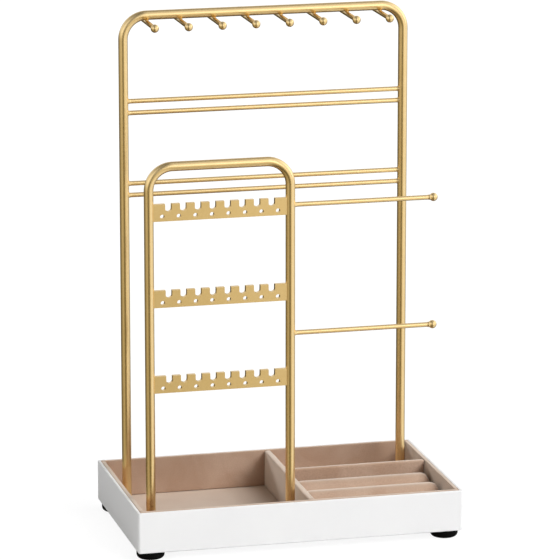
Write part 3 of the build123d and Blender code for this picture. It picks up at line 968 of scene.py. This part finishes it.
for node in ("lining_front", "lining_back", "lining_left", "lining_right", "main_divider", "cross_divider"):
    low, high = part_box(node)
    share = DIVIDER_ROUND_SHARE if "divider" in node else LINING_ROUND_SHARE
    rounding = share * min(high.x - low.x, high.y - low.y)
    dress(soft_board(f"velvet_{node}", low, high, rounding, FOOT_ROUNDING), "stand", "velvet", node)
floor = soft_board("velvet_floor", *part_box("floor_lining"), FLOOR_ROUNDING, FLOOR_ROUNDING)
dress(floor, "stand", "velvet", "floor_lining")

# %% [markdown]
# ## Rubber feet
#
# Four low rubber domes carry the tray. A foot is round, so its outline is turned about its axis, and the
# tree sets the same foot at the four corners of a grid.

# %% Rubber feet
FOOT_SIDES = 40
FOOT_EDGE = 3.5 * MM
FOOT_EDGE_STEPS = 7
FOOT_LIP = 0.6 * MM


def feet_tree():
    tree, given = begin_tree("four_feet", {"Width": FLOAT, "Depth": FLOAT})
    corners = add_node(tree, "GeometryNodeMeshGrid", {
        "Size X": given["Width"], "Size Y": given["Depth"], "Vertices X": 2, "Vertices Y": 2})
    feet = add_node(tree, "GeometryNodeInstanceOnPoints", {"Points": corners, "Instance": given["Geometry"]})
    real = add_node(tree, "GeometryNodeRealizeInstances", {"Geometry": feet})
    closed = add_node(tree, "GeometryNodeMergeByDistance", {"Geometry": real, "Distance": TINY})
    return end_tree(tree, given, closed)


def turned(outline, sides):
    """Points and faces of an outline turned about the Z axis. It starts and ends on the axis."""
    angles = [2 * math.pi * step / sides for step in range(sides)]
    corners = [(radius * math.cos(angle), radius * math.sin(angle), z)
               for radius, z in outline for angle in angles]
    return corners, loft_faces(len(outline), sides)[:-sides]


foot_nodes = [f"foot_{place}" for place in ("front_left", "front_right", "back_left", "back_right")]
foot_low, foot_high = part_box("foot_front_left")
foot_radius, foot_top = (foot_high.x - foot_low.x) / 2, foot_high.z
outline = [(0, 0), (foot_radius - FOOT_EDGE, 0)]
outline += quarter((foot_radius - FOOT_EDGE, FOOT_EDGE), FOOT_EDGE, -90, FOOT_EDGE_STEPS)
outline += [(foot_radius, foot_top - FOOT_LIP), (foot_radius - FOOT_LIP, foot_top), (0, foot_top)]
foot_corners, foot_faces = turned(outline, FOOT_SIDES)
foot_spread = middle("foot_back_right") - middle("foot_front_left")
feet_sizes = {"Width": foot_spread.x, "Depth": foot_spread.y}
feet = grow("rubber_feet", feet_tree(), rubber, feet_sizes, foot_corners, faces=foot_faces)
dress(feet, "stand", "black_rubber", *foot_nodes)

# %% [markdown]
# ## Ring cushion
#
# Rings are held between three foam rolls wrapped in velvet, glued side by side to a thin board. Each roll
# is made the way it swells: it starts as a slightly smaller half-round that is drawn in at its ends, gets
# an even mesh, and is blown up by a cloth simulation with its underside held, so that its ends become
# full and soft. A limit on how far a point may move keeps it inside the space the roll really has.

# %% Ring rolls
ROLL_SLACK = 0.9 * MM
ROLL_END_ROUND = 6.0 * MM
ROLL_END_STEPS = 5
ROLL_CROWN_STEPS = 16
ROLL_VOXEL = 2.0 * MM
ROLL_SWELL = 1.1 * MM
CLOTH_PRESSURE = 4.0
CLOTH_FRAMES = 20


def slack_roll(name, low, high):
    """A roll before it is filled: a half-round on straight sides, drawn in towards its ends."""
    half = (high.y - low.y) / 2 - ROLL_SLACK
    y, crown_z = (low.y + high.y) / 2, high.z - ROLL_SLACK - half
    ends = [(ROLL_END_ROUND - across, ROLL_END_ROUND - up)
            for across, up in quarter((0, 0), ROLL_END_ROUND, 0, ROLL_END_STEPS)]
    stations = [(low.x + ROLL_SLACK + along, inset) for along, inset in ends]
    stations += [(high.x - ROLL_SLACK - along, inset) for along, inset in reversed(ends)]
    crown = [math.pi * step / ROLL_CROWN_STEPS for step in range(ROLL_CROWN_STEPS + 1)]
    corners = []
    for x, inset in stations:
        reach = half - inset
        arch = [(x, y + reach * math.cos(turn), crown_z + reach * math.sin(turn)) for turn in crown]
        corners += [(x, y + half - inset, low.z)] + arch + [(x, y - half + inset, low.z)]
    around = len(crown) + 2
    faces = loft_faces(len(stations), around)[:-around]
    faces += [tuple(range(around)), tuple(range(len(corners) - around, len(corners)))]
    return solid(name, corners, faces, velvet)


def fill_roll(piece, low, high):
    """Blows a slack roll up from inside, its underside held, up to its swell and within its own space."""
    even = piece.modifiers.new("even_cells", "REMESH")
    even.mode, even.voxel_size, even.use_smooth_shade = "VOXEL", ROLL_VOXEL, True
    keep_result(piece)
    before = [vertex.co.copy() for vertex in piece.data.vertices]
    held = piece.vertex_groups.new(name="glued_underside")
    underside = [place for place, point in enumerate(before) if point.z < low.z + ROLL_VOXEL / 2]
    held.add(underside, 1.0, "REPLACE")
    cloth = piece.modifiers.new("filling", "CLOTH").settings
    cloth.use_pressure = True
    cloth.uniform_pressure_force = CLOTH_PRESSURE
    cloth.effector_weights.gravity = 0
    cloth.vertex_group_mass = held.name
    for step in range(1, CLOTH_FRAMES + 1):
        scene.frame_set(step)
    keep_result(piece)
    scene.frame_set(1)
    piece.vertex_groups.clear()
    for vertex, start in zip(piece.data.vertices, before):
        swell = vertex.co - start
        point = start + swell * min(1, ROLL_SWELL / max(swell.length, ROLL_SWELL))
        vertex.co = [min(max(point[axis], low[axis]), high[axis]) for axis in range(3)]


for place in ("back", "middle", "front"):
    node = f"ring_roll_{place}"
    roll_low, roll_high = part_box(node)
    roll = slack_roll(f"velvet_roll_{place}", roll_low, roll_high)
    fill_roll(roll, roll_low, roll_high)
    finer = roll.modifiers.new("finer", "SUBSURF")
    finer.levels = finer.render_levels = 1
    dress(roll, "ring_cushion", "velvet", node)

# %% [markdown]
# ## Pieces that stay as they are
#
# The bottom board, the cushion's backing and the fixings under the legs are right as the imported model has
# them. They only get their finish.

# %% Finish the kept pieces
KEPT = {lacquer: ("tray_bottom",), fibreboard: ("ring_cushion_board",),
        zinc: ("tall_frame_plugs", "low_frame_plugs", "frame_washers", "frame_screws")}
for finish, nodes in KEPT.items():
    for node in nodes:
        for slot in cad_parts[node].material_slots:
            slot.material = finish
    print(finish.name, "on", ", ".join(nodes))
